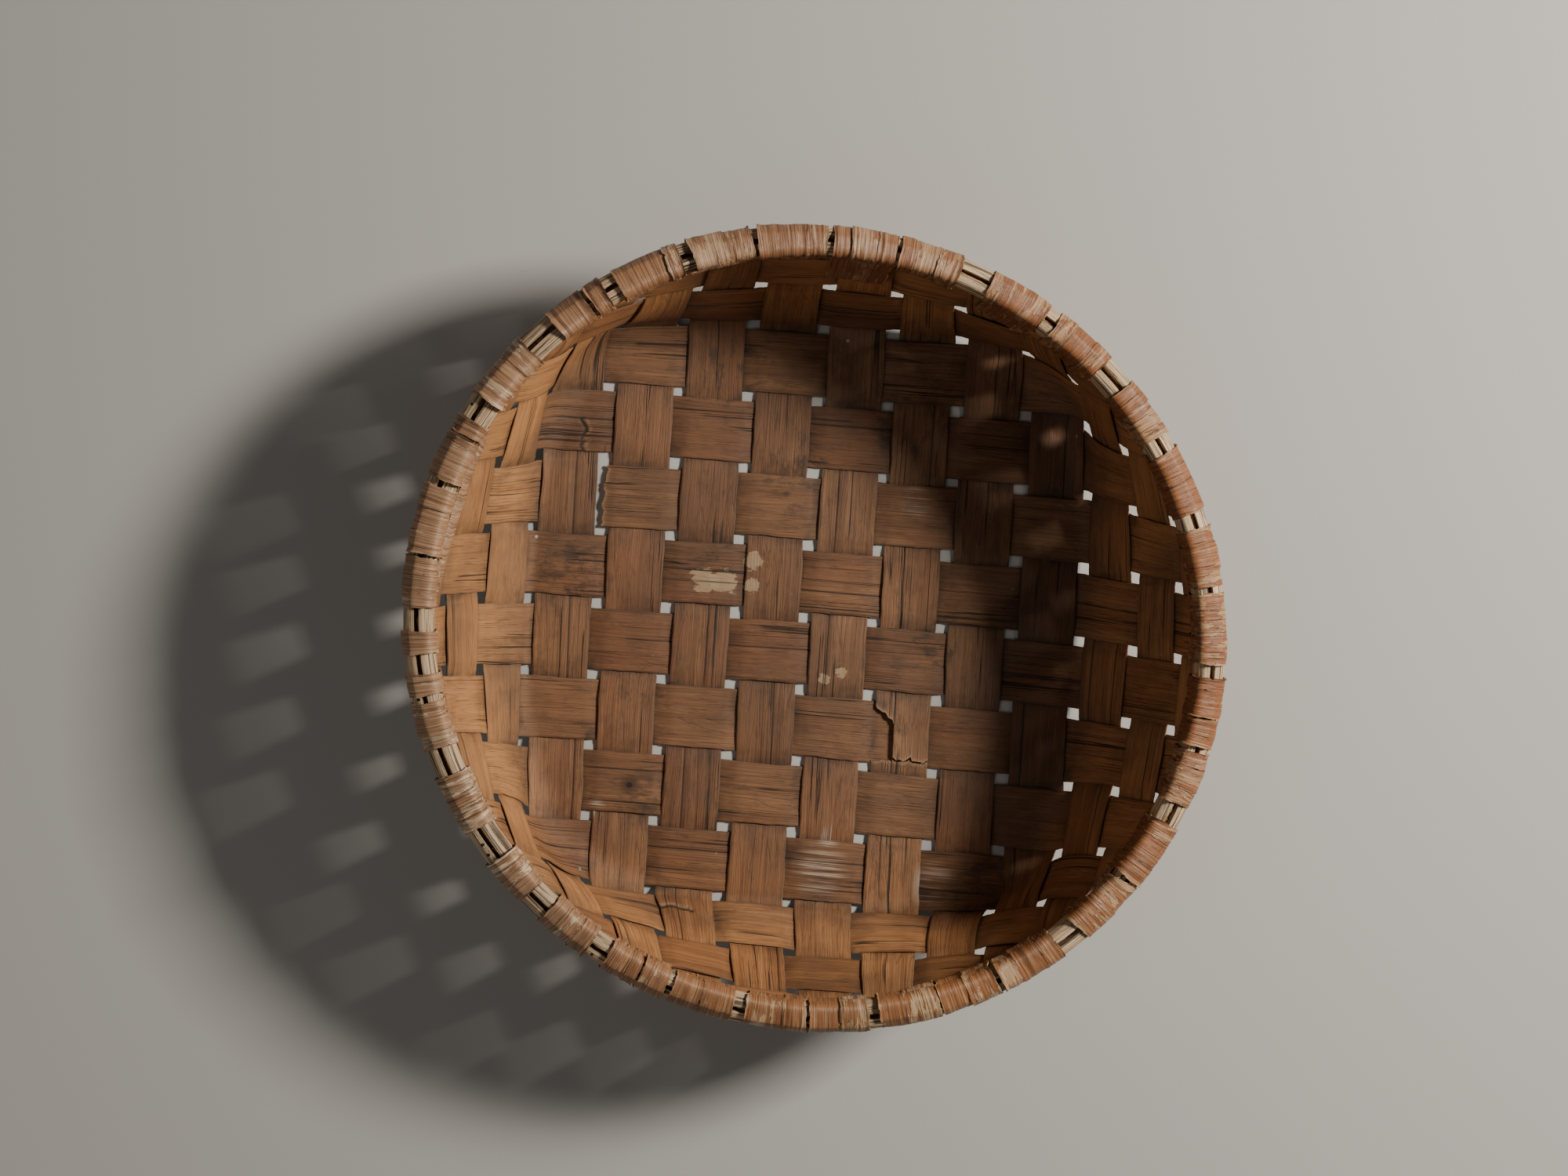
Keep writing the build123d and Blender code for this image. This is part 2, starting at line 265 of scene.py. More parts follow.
def make_piece(name, shells, material, nodes, sharp=50.0):
    """One object from closed shells.  Each shell is a dict of its two grids of
    points, its grain coordinates in millimetres, and its per-point values."""
    points, faces, places = [], [], []
    values = {key: [] for key in shells[0]["values"]}
    count = 0
    for shell in shells:
        top, bottom = shell["top"], shell["bottom"]
        rows, columns = top.shape[:2]
        points += [top.reshape(-1, 3), bottom.reshape(-1, 3)]
        faces.append(shell_faces(rows, columns, count, shell.get("looped", False)))
        places += [shell["place"].reshape(-1, 2)] * 2
        for key, value in shell["values"].items():
            spread = np.broadcast_to(value, (rows, columns)).reshape(-1)
            values[key] += [spread, spread]
        count += 2 * rows * columns
    points = out_of_round(np.concatenate(points)) * MM
    faces = np.concatenate(faces)
    mesh = bpy.data.meshes.new(name)
    mesh.vertices.add(len(points))
    mesh.vertices.foreach_set("co", points.ravel())
    mesh.loops.add(faces.size)
    mesh.loops.foreach_set("vertex_index", faces.ravel())
    mesh.polygons.add(len(faces))
    mesh.polygons.foreach_set("loop_start", np.arange(0, faces.size, 4))
    mesh.update(calc_edges=True)
    mesh.validate()
    for key, parts in values.items():
        layer = mesh.attributes.new(key, "FLOAT", "POINT")
        layer.data.foreach_set("value", np.concatenate(parts).astype(np.float32))
    work = bmesh.new()
    work.from_mesh(mesh)
    bmesh.ops.recalc_face_normals(work, faces=work.faces)
    work.to_mesh(mesh)
    work.free()
    layer = mesh.uv_layers.new(name="grain")
    corners = np.empty(len(mesh.loops), np.int32)
    mesh.loops.foreach_get("vertex_index", corners)
    layer.data.foreach_set("uv", (np.concatenate(places)[corners] / uv_unit).astype(np.float32).ravel())
    mesh.polygons.foreach_set("use_smooth", np.ones(len(mesh.polygons), bool))
    mesh.set_sharp_from_angle(angle=math.radians(sharp))
    mesh.materials.append(material)
    piece = bpy.data.objects.new(name, mesh)
    bpy.context.scene.collection.objects.link(piece)
    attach(piece, "root")
    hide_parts(*nodes)


# ---- shader building ----
def put(tree, kind, values=None, **settings):
    """Adds a shader node, sets its settings, and sets or links its named inputs."""
    made = tree.nodes.new("ShaderNode" + kind)
    for key, value in settings.items():
        setattr(made, key, value)
    for key, value in (values or {}).items():
        if isinstance(value, bpy.types.NodeSocket):
            tree.links.new(value, made.inputs[key])
        else:
            made.inputs[key].default_value = value
    return made


def calc(tree, operation, *terms):
    """Output of a Math node."""
    return put(tree, "Math", dict(enumerate(terms)), operation=operation).outputs[0]


def plus(tree, a, b):
    """Sum of two values."""
    return calc(tree, "ADD", a, b)


def minus(tree, a, b):
    """Difference of two values."""
    return calc(tree, "SUBTRACT", a, b)


def product(tree, *terms):
    """All terms multiplied together, in order."""
    total = terms[0]
    for term in terms[1:]:
        total = calc(tree, "MULTIPLY", total, term)
    return total


def cloud(tree, place, scale, shift=(0, 0, 0), detail=4, rough=0.55, bend=0):
    """Noise between 0 and 1 on a place that is multiplied by a scale for each
    direction, and shifted."""
    vector = put(tree, "VectorMath", {0: place, 1: scale, 2: shift}, operation="MULTIPLY_ADD").outputs[0]
    return put(tree, "TexNoise", {"Vector": vector, "Scale": 1, "Detail": detail,
                                  "Roughness": rough, "Distortion": bend}).outputs[0]


def step(tree, value, low, high, to_low=0, to_high=1):
    """Value carried from one range to another, smoothly and held at the ends."""
    made = put(tree, "MapRange", {0: value, 1: low, 2: high, 3: to_low, 4: to_high})
    made.interpolation_type = "SMOOTHSTEP"
    return made.outputs[0]


def blend(tree, share, a, b, kind="MIX"):
    """Two colours mixed by a share."""
    made = put(tree, "Mix", {0: share, 6: a, 7: b}, data_type="RGBA", blend_type=kind)
    return made.outputs[2]


def ramp(tree, value, *stops):
    """Colours along a value: each stop is a position and a linear colour."""
    made = put(tree, "ValToRGB", {0: value})
    points = made.color_ramp.elements
    while len(points) < len(stops):
        points.new(0.5)
    for point, (position, colour) in zip(points, stops):
        point.position = position
        point.color = (*colour, 1)
    return made.outputs[0]


def cover(tree, colour, *layers):
    """A colour covered by others in turn: each layer is the mask that says where,
    the most that it covers, and its colour."""
    for mask, most, over in layers:
        colour = blend(tree, product(tree, mask, most), colour, (*over, 1))
    return colour


def swing(tree, value, middle, size):
    """How far a value is from a middle, multiplied by a size."""
    return product(tree, minus(tree, value, middle), size)


def new_group(name, outputs, **inputs):
    """An empty node group with its sockets, and its own input and output nodes."""
    group = bpy.data.node_groups.new(name, "ShaderNodeTree")
    for label, kind in inputs.items():
        group.interface.new_socket(label, in_out="INPUT", socket_type="NodeSocket" + kind)
    for label in outputs:
        group.interface.new_socket(label, in_out="OUTPUT", socket_type="NodeSocketFloat")
    return group, group.nodes.new("NodeGroupInput").outputs, group.nodes.new("NodeGroupOutput").inputs


def give_out(group, result, **sockets):
    """Joins the masks and values that a group works out to its outputs."""
    for label, socket in sockets.items():
        group.links.new(socket, result[label])
    return group


def use_group(tree, group, values):
    """Places a group in a material and returns its outputs."""
    return put(tree, "Group", values, node_tree=group).outputs


def wood_grain_group():
    """Split wood along its grain: fibre streaks, broad bands, growth lines that
    close into long arches, short dark pores, and hairline checks that come and go."""
    group, given, result = new_group("split wood grain", ["Tone", "Lines", "Pores", "Checks", "Height"],
                                     Place="Vector", Fineness="Float", Checks="Float")
    scaled = put(group, "VectorMath", {0: given["Place"], 3: given["Fineness"]}, operation="SCALE").outputs[0]
    fibre = cloud(group, scaled, (1.1, 0.012, 1), detail=6, rough=0.68)
    bands = cloud(group, scaled, (0.16, 0.006, 1), (7.3, 1.1, 0), detail=3)
    arches = cloud(group, scaled, (0.06, 0.0038, 1), (3.1, 9.7, 0), detail=2, rough=0.4, bend=0.3)
    rings = calc(group, "PINGPONG", product(group, arches, 15), 0.5)
    lines = step(group, rings, 0.12, 0.02)
    pores = step(group, cloud(group, scaled, (2.4, 0.045, 1), (1.7, 4, 0), detail=2), 0.37, 0.3)
    split = cloud(group, scaled, (0.13, 0.0011, 1), (11, 5, 0), detail=3, rough=0.5)
    near = calc(group, "ABSOLUTE", minus(group, split, 0.5))
    hair = step(group, near, 0.011, 0.004)
    gate = cloud(group, scaled, (0.05, 0.01, 1), (2, 8, 0), detail=2)
    checks = product(group, hair, step(group, gate, 0.5, 0.58), given["Checks"])
    tone = plus(group, product(group, fibre, 0.6), product(group, bands, 0.4))
    height = minus(group, fibre, product(group, checks, 1.6))
    height = minus(group, height, product(group, pores, 0.4))
    return give_out(group, result, Tone=tone, Lines=lines, Pores=pores, Checks=checks, Height=height)


def age_group():
    """Age on any surface, in the object's own space: broad stains, small specks,
    and pale rubbed patches."""
    group, given, result = new_group("age and handling", ["Stain", "Specks", "Rub"], Point="Vector")
    point = given["Point"]
    stain = step(group, cloud(group, point, (11, 11, 11), detail=5, rough=0.6), 0.4, 0.72)
    dots = put(group, "TexVoronoi", {"Vector": point, "Scale": 62}).outputs["Distance"]
    gate = cloud(group, point, (40, 40, 40), (5, 0, 0), detail=1)
    specks = product(group, step(group, dots, 0.085, 0.045), step(group, gate, 0.62, 0.68))
    worn = cloud(group, point, (23, 23, 23), (1, 4, 0), detail=6, rough=0.7)
    return give_out(group, result, Stain=stain, Specks=specks, Rub=step(group, worn, 0.64, 0.8))


def spot_group():
    """A round spot of a given radius at a given place: its dark inside, and a halo
    that fades out over a few radii."""
    group, given, result = new_group("round spot", ["Hole", "Halo"], Place="Vector", Centre="Vector",
                                     Radius="Float")
    apart = put(group, "VectorMath", {0: given["Place"], 1: given["Centre"]},
                operation="DISTANCE").outputs["Value"]
    ratio = calc(group, "DIVIDE", apart, given["Radius"])
    return give_out(group, result, Hole=step(group, ratio, 1.05, 0.8), Halo=step(group, ratio, 4.5, 1))


wood_grain = wood_grain_group()
age_marks = age_group()
round_spot = spot_group()


def new_material(name):
    """A material, its nodes, and the places that its patterns read: place is the
    grain's in millimetres, in another layer of the pattern for each tint, and
    point is the object's in metres."""
    tint_shift = 57.0
    material = bpy.data.materials.new(name)
    material.use_nodes = True
    tree = material.node_tree
    uv = put(tree, "UVMap", uv_map="grain").outputs[0]
    tint = read(tree, "tint")
    parts = put(tree, "SeparateXYZ", {0: uv}).outputs
    place = put(tree, "CombineXYZ", {
        0: product(tree, parts[0], uv_unit), 1: product(tree, parts[1], uv_unit),
        2: product(tree, tint, tint_shift)}).outputs[0]
    point = put(tree, "TexCoord").outputs["Object"]
    return material, tree, place, point, tint


def read(tree, name):
    """A per-point value of the piece's mesh."""
    return put(tree, "Attribute", attribute_name=name).outputs["Fac"]


def finish_surface(tree, colour, roughness, height, depth, strength=1):
    """Feeds colour, roughness and a bump of a depth in metres to the shader."""
    shader = tree.nodes["Principled BSDF"]
    tree.links.new(colour, shader.inputs["Base Color"])
    tree.links.new(roughness, shader.inputs["Roughness"])
    bump = put(tree, "Bump", {"Height": height, "Distance": depth, "Strength": strength})
    tree.links.new(bump.outputs[0], shader.inputs["Normal"])


# Rubbed places on the bottom: where, in millimetres, and how wide.
scuffs = [((66, 78), 7), ((20, -163), 12), ((93, -168), 10), ((24, -140), 5), ((-126, -130), 4)]
# Places where flakes of old paint or paste cling to the wood.
flakes = [((-66, 20), 7), ((-55, 20), 7), ((-36, 34), 5), ((-36, 18), 4), ((15, -39), 3),
          ((25, -35), 3)]
# Knots: where, and how wide the hard core is.
knots = [((-106, -114), 4)]
# Places where the bottom is stained nearly black: where, and how wide.
smudges = [((122, -176), 26), ((52, -66), 15), ((-10, 92), 24), ((82, -10), 24), ((-102, -50), 13),
           ((-150, 20), 22), ((60, 130), 26), ((-60, 150), 24), ((-96, -124), 17), ((-50, 30), 24)]
# Beetle holes in the hoops: turn round the rim in degrees, and how far round the
# hoop's back in millimetres.
beetle_holes = [(150, 19), (193, 20.2), (215.9, 20.4), (217.6, 19.8), (238.6, 19.5), (305.5, 19),
                (61.5, 20)]


def bottom_spots(tree, point, places, narrower):
    """Round spots on the bottom's upper face, from places and widths in millimetres:
    each one's radius is its width divided by a number."""
    return [use_group(tree, round_spot, {"Place": point, "Centre": (x * MM, y * MM, splint_face * MM),
                                         "Radius": width / narrower * MM}) for (x, y), width in places]


def splint_wood():
    """Old split wood: brown with darker grain, stained dark over the bottom and
    lighter up the walls, with dark checks, dirt and painted shade where splints
    pass under each other and along their edges, painted shade in the open splits
    and cracks, knots, and pale scuffs with dry streaks in them."""
    material, tree, place, point, tint = new_material("aged splint wood")
    grain = use_group(tree, wood_grain, {"Place": place, "Fineness": 1, "Checks": 1.0})
    age = use_group(tree, age_marks, {"Point": point})
    tone = plus(tree, grain["Tone"], swing(tree, tint, 0.5, 0.3))
    bottom = ramp(tree, tone, (0.26, (0.08, 0.033, 0.014)), (0.43, (0.142, 0.063, 0.028)),
                  (0.56, (0.2, 0.094, 0.042)), (0.76, (0.32, 0.163, 0.078)))
    wall = ramp(tree, tone, (0.28, (0.17, 0.066, 0.02)), (0.43, (0.32, 0.136, 0.046)),
                (0.56, (0.44, 0.2, 0.073)), (0.76, (0.62, 0.32, 0.135)))
    patchy = swing(tree, cloud(tree, point, (9, 9, 9), detail=4), 0.5, 0.06)
    side_x, side_y, side_z = (plus(tree, part, patchy)
                              for part in put(tree, "SeparateXYZ", {0: point}).outputs)
    climb = step(tree, side_z, 0.004, 0.04)
    front = step(tree, side_y, -0.1, -0.2, 0, 0.35)
    colour = blend(tree, calc(tree, "MAXIMUM", climb, front), bottom, wall)
    pale = step(tree, side_x, -0.15, -0.2, 0, 0.26)
    colour = blend(tree, pale, colour, (0.68, 0.345, 0.14, 1))
    colour = cover(tree, colour, (grain["Lines"], 0.2, (0.07, 0.028, 0.012)),
                   (grain["Pores"], 0.6, (0.04, 0.018, 0.009)))
    reddish = cloud(tree, place, (0.02, 0.004, 1), (0, 3, 5), detail=2)
    colour = blend(tree, step(tree, reddish, 0.45, 0.75, 0, 0.3), colour, (0.26, 0.095, 0.038, 1))
    colour = cover(tree, colour, (age["Stain"], 0.55, (0.06, 0.034, 0.021)))
    mottle = cloud(tree, place, (0.11, 0.055, 1), (5, 2, 9), detail=7, rough=0.74)
    mottle = step(tree, mottle, 0.47, 0.66)
    for spot in bottom_spots(tree, point, smudges, 3):
        colour = cover(tree, colour, (product(tree, spot["Halo"], mottle), 0.85, (0.032, 0.019, 0.012)))
    low_down = product(tree, mottle, minus(tree, 1, climb))
    # Dirt and painted shade: near black along the splints' edges and where they pass under each other.
    colour = cover(tree, colour, (low_down, 0.42, (0.06, 0.031, 0.017)),
                   (read(tree, "tuck_dirt_and_shade"), 0.78, (0.022, 0.012, 0.007)),
                   (age["Rub"], 0.28, (0.36, 0.25, 0.17)))
    ragged = cloud(tree, point, (90, 190, 150), detail=7, rough=0.72)
    for spot in bottom_spots(tree, point, flakes, 2):
        cling = plus(tree, ragged, product(tree, spot["Halo"], 0.33))
        colour = cover(tree, colour, (step(tree, cling, 0.715, 0.74), 0.75, (0.4, 0.285, 0.17)))
    streaks = step(tree, grain["Tone"], 0.48, 0.58)
    for spot in bottom_spots(tree, point, scuffs, 2.4):
        colour = cover(tree, colour, (product(tree, spot["Halo"], streaks), 0.75, (0.52, 0.43, 0.34)))
    colour = cover(tree, colour, (age["Specks"], 0.7, (0.55, 0.47, 0.37)),
                   (read(tree, "torn"), 0.5, (0.4, 0.25, 0.14)))
    # Near black along the hairline checks, in the knot's hole, and in the open splits and cracks, where it is
    # painted shade.
    dark = calc(tree, "MAXIMUM", product(tree, grain["Checks"], 0.9), read(tree, "split"))
    for spot in bottom_spots(tree, point, knots, 2):
        colour = cover(tree, colour, (spot["Halo"], 0.75, (0.03, 0.014, 0.008)))
        dark = calc(tree, "MAXIMUM", dark, spot["Hole"])
    colour = cover(tree, colour, (dark, 0.95, (0.008, 0.005, 0.003)))
    roughness = plus(tree, 0.58, product(tree, grain["Tone"], 0.25))
    height = minus(tree, grain["Height"], product(tree, grain["Lines"], 0.25))
    finish_surface(tree, colour, roughness, height, 0.00045, 0.9)
    return material


def hoop_wood():
    """Weathered straw-coloured wood: coarse raised fibres with dark furrows, grey
    patches, and round beetle holes."""
    material, tree, place, point, _ = new_material("weathered hoop wood")
    grain = use_group(tree, wood_grain, {"Place": place, "Fineness": 1, "Checks": 1.0})
    age = use_group(tree, age_marks, {"Point": point})
    furrow = cloud(tree, place, (0.95, 0.016, 1), (4, 0, 0), detail=5, rough=0.6)
    furrow = step(tree, furrow, 0.48, 0.38)
    colour = ramp(tree, grain["Tone"], (0.28, (0.26, 0.15, 0.08)), (0.46, (0.58, 0.4, 0.24)),
                  (0.7, (0.84, 0.66, 0.45)))
    colour = cover(tree, colour, (age["Stain"], 0.35, (0.22, 0.15, 0.098)),
                   (furrow, 0.85, (0.055, 0.032, 0.018)),
                   (grain["Checks"], 0.9, (0.02, 0.012, 0.008)))
    holes = 0.0
    for turn, around in beetle_holes:
        centre = (around, math.radians(turn) * rim_radius, 0)
        spot = use_group(tree, round_spot, {"Place": place, "Centre": centre, "Radius": 1.0})
        holes = calc(tree, "MAXIMUM", holes, spot["Hole"])
    colour = blend(tree, holes, colour, (0.004, 0.003, 0.002, 1))
    height = minus(tree, grain["Height"], product(tree, furrow, 1.4))
    height = minus(tree, height, product(tree, holes, 4))
    roughness = plus(tree, 0.62, product(tree, grain["Tone"], 0.2))
    finish_surface(tree, colour, roughness, height, 0.0006)
    return material


def bark_skin():
    """Cherry-like bark: fine dark lines round the wrap, a cream outer skin that is
    left in ragged strips over an orange layer, and pale raised edges.  It is grey
    on the left and front of the basket, partly as greyed bark and partly as painted
    light that makes those wraps lighter, and darker and more orange at the back right."""
    material, tree, place, point, tint = new_material("bark")
    age = use_group(tree, age_marks, {"Point": point})
    fine = cloud(tree, place, (1.9, 0.035, 1), detail=6, rough=0.65)
    ridge = cloud(tree, place, (0.55, 0.01, 1), (6, 2, 0), detail=3)
    tone = plus(tree, product(tree, fine, 0.55), product(tree, ridge, 0.45))
    orange = ramp(tree, tone, (0.33, (0.12, 0.044, 0.016)), (0.46, (0.29, 0.118, 0.046)),
                  (0.55, (0.385, 0.17, 0.068)), (0.68, (0.5, 0.255, 0.115)))
    cream = ramp(tree, tone, (0.33, (0.25, 0.135, 0.068)), (0.48, (0.5, 0.315, 0.175)),
                 (0.68, (0.72, 0.515, 0.32)))
    patch = cloud(tree, place, (0.22, 0.045, 1), (1, 7, 0), detail=5, rough=0.62, bend=0.5)
    amount = plus(tree, patch, swing(tree, tint, 0.7, 0.26))
    peeled = step(tree, amount, 0.515, 0.53)
    colour = blend(tree, peeled, orange, cream)
    off_edge = calc(tree, "ABSOLUTE", minus(tree, amount, 0.512))
    colour = cover(tree, colour, (step(tree, off_edge, 0.01, 0.003), 0.45, (0.14, 0.07, 0.036)))
    lens = cloud(tree, place, (1.5, 0.03, 1), (9, 4, 0), detail=2)
    pores = step(tree, lens, 0.37, 0.3)
    colour = cover(tree, colour, (pores, 0.75, (0.085, 0.04, 0.022)))
    lines = cloud(tree, place, (2.6, 0.022, 1), (3, 5, 1), detail=3, rough=0.6)
    colour = cover(tree, colour, (step(tree, lines, 0.43, 0.35), 0.55, (0.11, 0.058, 0.032)))
    streak = cloud(tree, place, (0.8, 0.016, 1), (2, 2, 3), detail=2)
    # Near black where a band's edge lies under the next band, and at the loose strip's root under the wraps:
    # dirt and painted shade.
    colour = cover(tree, colour, (step(tree, streak, 0.6, 0.66), 0.5, (0.6, 0.4, 0.22)),
                   (read(tree, "lip"), 0.6, (0.62, 0.41, 0.22)),
                   (read(tree, "bark_dirt_and_shade"), 0.85, (0.03, 0.017, 0.011)),
                   (age["Stain"], 0.42, (0.15, 0.08, 0.045)))
    # Greyer and lighter on the left and front: partly greyed bark, partly painted light standing in for fill
    # light from that side.
    side = put(tree, "SeparateXYZ", {0: point}).outputs
    weathered = minus(tree, side[0], product(tree, side[1], 0.35))
    weathered = step(tree, weathered, 0.08, -0.18, 0, 0.7)
    weathered = product(tree, weathered, calc(tree, "MULTIPLY_ADD", peeled, 0.75, 0.4))
    grey = ramp(tree, tone, (0.37, (0.13, 0.078, 0.044)), (0.46, (0.43, 0.285, 0.175)),
                (0.6, (0.88, 0.68, 0.49)))
    colour = blend(tree, weathered, colour, grey)
    # Darker and more orange towards the back right.
    back_right_darkening = step(tree, plus(tree, side[0], side[1]), -0.16, 0.2, 0, 0.9)
    colour = blend(tree, back_right_darkening, colour, (0.72, 0.6, 0.52, 1), "MULTIPLY")
    roughness = minus(tree, 0.56, product(tree, fine, 0.22))
    sunk = minus(tree, ridge, product(tree, pores, 0.9))
    height = plus(tree, product(tree, fine, 0.7), sunk)
    height = plus(tree, height, product(tree, peeled, 0.45))
    finish_surface(tree, colour, roughness, height, 0.0006, 0.9)
    return material


splint_material = splint_wood()
hoop_material = hoop_wood()
bark_material = bark_skin()


# ---- splints ----
# A splint is known by its family, 0 for the warps and 1 for the wefts, and by its
# place among them, counted from the middle.
family_names = ("warp", "weft")
family_sizes = ((warp_pitch, warp_width), (weft_pitch, weft_width))
# Breaks right across a splint: the lines on which one part ends and the next
# begins, as places across from -1 to 1 and along it in millimetres.
breaks = {
    (1, 1): [([(-1, -150.0), (1, -150.0)], [(-1, -133.0), (1, -130.0)])],
    (0, 1): [([(-1, -87.5), (-0.3, -87.0), (1, -87.0)],
              [(-1, -52.0), (-0.34, -61.0), (-0.28, -63.0), (-0.26, -85.5), (1, -85.5)])],
}
# Cracks part of the way across: place along the splint, and from where to where
# across it, from -1 to 1.
cracks = {
    (1, 2): [(-147.0, -1.0, 0.05), (-128.0, 0.1, 0.2)],
    (0, -2): [(-199.0, -1.0, 0.25)],
}
# Long open splits: place across from -1 to 1, and from where to where along it.
known_splits = {
    (1, 2): [(0.05, -175, -105), (0.42, -80, 60)], (0, 1): [(-0.28, -150, 60), (0.45, 80, 190)],
    (1, -1): [(0.1, -120, 30)], (0, 0): [(-0.1, -110, -20)], (0, 2): [(0.1, 60, 240)],
    (1, -4): [(0.3, -120, 60)], (0, -2): [(-0.3, -260, -60)], (0, -4): [(0.25, -60, 120)],
    (0, 4): [(0.5, -150, 60)], (1, 0): [(-0.3, -40, 60)],
}


def on_weave(family, across, along):
    """Flat place (u, v) of a place across and along the splints of a family."""
    return (across, along) if family == 0 else (along, across)


def splint_splits(family, index, rng):
    """Open splits of one splint: those known, and a few more at random."""
    found = list(known_splits.get((family, index), []))
    for _ in range(rng.integers(1, 3)):
        middle = rng.uniform(-260, 260)
        length = rng.uniform(45, 150)
        found.append((rng.uniform(-0.75, 0.75), middle - length / 2, middle + length / 2))
    return found


def places_across(splits):
    """Places across a splint, from -1 to 1: closer together at its edges and
    beside each open split."""
    places = [-1, -0.985, -0.94, 0.94, 0.985, 1] + list(np.linspace(-0.86, 0.86, 15))
    for spot, _, _ in splits:
        places += [spot - 0.05, spot - 0.02, spot, spot + 0.02, spot + 0.05]
    share = np.unique(np.round(np.clip(places, -1, 1), 4))
    share = share[np.concatenate([[True], np.diff(share) > 0.006])]
    share[-1] = 1.0
    return share


def steps_along(low, high, spots):
    """Shares of the way along a part of a splint: even, and closer together beside
    each crack that crosses the part."""
    spacing = 2.4
    middle_low, middle_high = low.mean(), high.mean()
    beside = np.array([-2.0, -1.1, -0.45, 0.0, 0.45, 1.1, 2.0])
    steps = [np.linspace(0, 1, max(12, int(np.max(high - low) / spacing)))]
    steps += [(spot + beside - middle_low) / (middle_high - middle_low)
              for spot in spots if middle_low < spot < middle_high]
    return np.unique(np.concatenate(steps))


def way_to_rim(family, side, direction):
    """How far each line of a splint runs from the middle to the height where
    splints end: the highest point so far is read off between even places."""
    fine = np.linspace(0, 380, 381)
    path = woven_point(*on_weave(family, side[:, None] + 0 * fine, direction * fine + 0 * side[:, None]))
    climb = np.maximum.accumulate(path[..., 2], axis=1)
    after = np.clip((climb < splint_top).sum(axis=1), 1, len(fine) - 1)
    row = np.arange(len(side))
    low, high = climb[row, after - 1], climb[row, after]
    return fine[after - 1] + (fine[after] - fine[after - 1]) * (splint_top - low) / (high - low)


def inside(value, low, high, fade):
    """1 between two values, fading out to 0 over a stretch outside them."""
    return held((value - low) / fade + 1) * held((high - value) / fade + 1)


def bell(value, middle, width):
    """Bell curve: 1 at its middle, falling away over a width on both sides."""
    return np.exp(-((value - middle) / width) ** 2)


